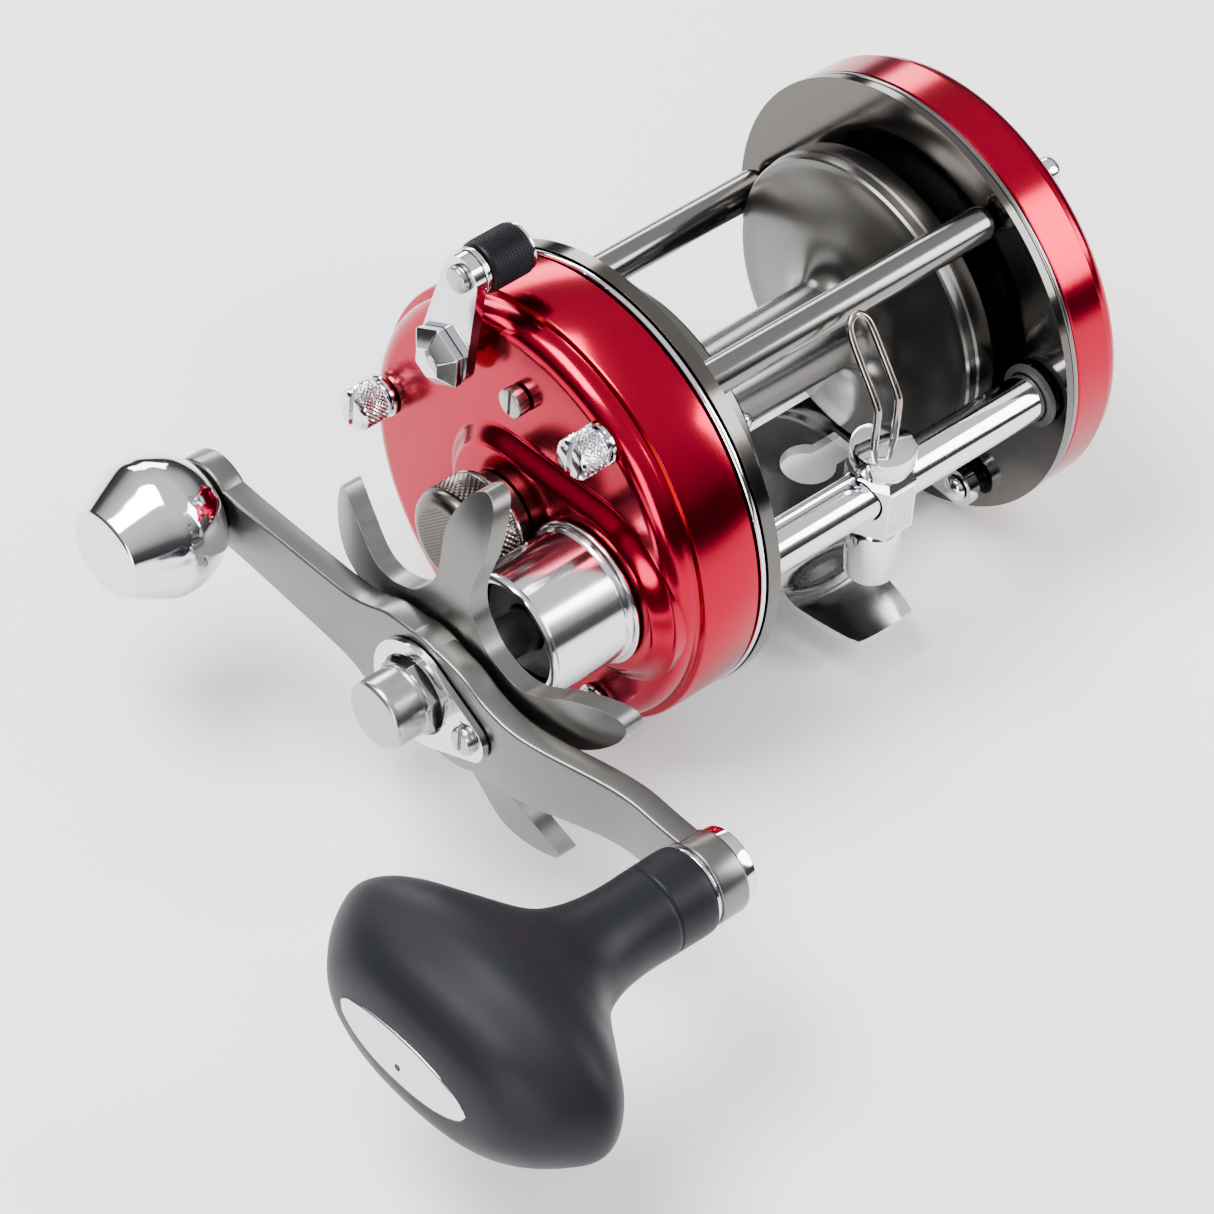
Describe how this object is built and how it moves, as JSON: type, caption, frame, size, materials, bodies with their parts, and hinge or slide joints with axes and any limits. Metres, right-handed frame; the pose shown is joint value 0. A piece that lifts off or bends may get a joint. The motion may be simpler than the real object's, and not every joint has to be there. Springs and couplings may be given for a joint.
{
  "type": "baitcasting reel",
  "caption": "Round level-wind fishing reel with red side covers, star drag, double handle with a soft knob, and a chrome foot.",
  "frame": {"origin": "centre of the flat underside of the foot's deck, midway between the side plates and under the spool axis", "axes": "+X along the spool axis away from the handle, -Y towards the line guide, +Z from the foot up to the spool"},
  "size_m": [0.1606, 0.1282, 0.0743],
  "materials": {
    "red_anodised": "polished red anodised",
    "dark_nickel": "polished dark nickel",
    "chrome": "bright chrome",
    "pillar_steel": "satin stainless",
    "turned_steel": "turned steel",
    "satin_grey": "bead-blasted satin grey",
    "spool_grey": "fine turned grey",
    "black_knurl": "fine knurl, black",
    "soft_rubber": "soft matte",
    "gear_brass": "machined",
    "white_plastic": "moulded",
    "black_fibre": "dull black",
    "guide_wire": "polished wire"
  },
  "bodies": {
    "frame": {"frame_plate_right": "dark_nickel", "frame_plate_left": "dark_nickel", "trim_ring_right": "chrome", "trim_ring_left": "chrome", "pillar_rear": "pillar_steel", "pillar_top": "pillar_steel", "reel_foot": "chrome", "foot_rivet_front_right": "chrome", "foot_rivet_front_left": "chrome", "foot_rivet_rear_right": "chrome", "foot_rivet_rear_left": "chrome", "side_cover_right": "red_anodised", "side_cover_left": "red_anodised", "thumb_screw_rear": "chrome", "thumb_screw_top": "chrome", "thumb_screw_bottom": "chrome", "face_screw": "turned_steel", "handle_bearing_tube": "chrome", "drive_bearing": "turned_steel", "bridge_plate": "gear_brass", "spool_bearing_right": "turned_steel", "spool_bearing_left": "turned_steel", "left_bearing_cap": "chrome", "level_wind_tube": "chrome", "tube_clip": "black_fibre", "cast_control_neck": "turned_steel"},
    "spool": {"spool": "spool_grey", "spool_shaft": "turned_steel", "line_pin": "chrome", "spool_cog": "gear_brass", "click_wheel_hub": "gear_brass"},
    "drive": {"drive_shaft": "turned_steel", "main_gear": "gear_brass", "ratchet_wheel": "turned_steel", "drag_washer": "black_fibre", "handle_arm": "satin_grey", "handle_nut": "turned_steel", "lock_plate": "chrome", "lock_screw": "turned_steel", "small_knob_spindle": "chrome", "power_knob_spindle": "chrome"},
    "star": {"star_drag": "satin_grey"},
    "small_knob": {"small_knob": "chrome"},
    "power_knob": {"power_knob": "soft_rubber"},
    "clutch_lever": {"clutch_lever": "chrome", "lever_nut": "chrome", "grip_rivet": "turned_steel"},
    "lever_grip": {"lever_grip": "black_knurl"},
    "yoke": {"clutch_yoke": "turned_steel"},
    "pinion": {"pinion": "gear_brass"},
    "cast_control": {"cast_control_cap": "black_knurl"},
    "worm": {"worm_shaft": "turned_steel", "worm_gear": "gear_brass"},
    "idler": {"idler_gear": "white_plastic"},
    "carriage": {"carriage": "chrome", "level_wind_pawl": "turned_steel", "pawl_cap": "chrome", "line_guide": "guide_wire"},
    "clicker": {"clicker_button": "chrome"},
    "dog": {"anti_reverse_dog": "turned_steel"}
  },
  "joints": [
    {"name": "handle_turn", "type": "hinge", "parent": "frame", "child": "drive", "pos_m": [-0.07, -0.01636, 0.0258], "axis": [1, 0, 0], "continuous": true},
    {"name": "spool_turn", "type": "hinge", "parent": "frame", "child": "spool", "pos_m": [0, 0.0015, 0.0265], "axis": [1, 0, 0], "continuous": true},
    {"name": "clutch_press", "type": "hinge", "parent": "frame", "child": "clutch_lever", "pos_m": [-0.0457, 0.0133, 0.0478], "axis": [1, 0, 0], "range_deg": [-35, 0]},
    {"name": "yoke_shift", "type": "slide", "parent": "frame", "child": "yoke", "axis": [1, 0, 0], "range_m": [-0.0022, 0]},
    {"name": "pinion_turn", "type": "hinge", "parent": "yoke", "child": "pinion", "pos_m": [0, 0.0015, 0.0265], "axis": [1, 0, 0], "continuous": true},
    {"name": "grip_roll", "type": "hinge", "parent": "clutch_lever", "child": "lever_grip", "pos_m": [-0.0457, 0.0107, 0.0634], "axis": [1, 0, 0], "continuous": true},
    {"name": "star_turn", "type": "hinge", "parent": "drive", "child": "star", "pos_m": [-0.0652, -0.01636, 0.0258], "axis": [1, 0, 0], "range_deg": [-90, 180]},
    {"name": "small_knob_turn", "type": "hinge", "parent": "drive", "child": "small_knob", "pos_m": [-0.0737, 0.02864, 0.0258], "axis": [1, 0, 0], "continuous": true},
    {"name": "power_knob_turn", "type": "hinge", "parent": "drive", "child": "power_knob", "pos_m": [-0.0687, -0.06456, 0.0258], "axis": [1, 0, 0], "continuous": true},
    {"name": "cast_control_turn", "type": "hinge", "parent": "frame", "child": "cast_control", "pos_m": [-0.0462, 0.0015, 0.0265], "axis": [1, 0, 0], "range_deg": [-180, 180]},
    {"name": "worm_turn", "type": "hinge", "parent": "frame", "child": "worm", "pos_m": [0, -0.02699, 0.0272], "axis": [1, 0, 0], "continuous": true},
    {"name": "idler_turn", "type": "hinge", "parent": "frame", "child": "idler", "pos_m": [0.031, -0.0129, 0.02685], "axis": [1, 0, 0], "continuous": true},
    {"name": "carriage_travel", "type": "slide", "parent": "frame", "child": "carriage", "axis": [1, 0, 0], "range_m": [-0.018, 0.0218]},
    {"name": "clicker_slide", "type": "slide", "parent": "frame", "child": "clicker", "axis": [0, 0.4516, -0.8922], "range_m": [0, 0.004]},
    {"name": "dog_swing", "type": "hinge", "parent": "frame", "child": "dog", "pos_m": [-0.0331, -0.01336, 0.0106], "axis": [1, 0, 0], "range_deg": [-5, 12]}
  ],
  "couplings": [
    {"joint": "spool_turn", "follows": "handle_turn", "ratio": -3.5833},
    {"joint": "pinion_turn", "follows": "handle_turn", "ratio": -3.5833},
    {"joint": "idler_turn", "follows": "handle_turn", "ratio": 1.1944},
    {"joint": "worm_turn", "follows": "handle_turn", "ratio": -3.9091},
    {"joint": "yoke_shift", "follows": "clutch_press", "m_per_rad": 0.003274}
  ]
}
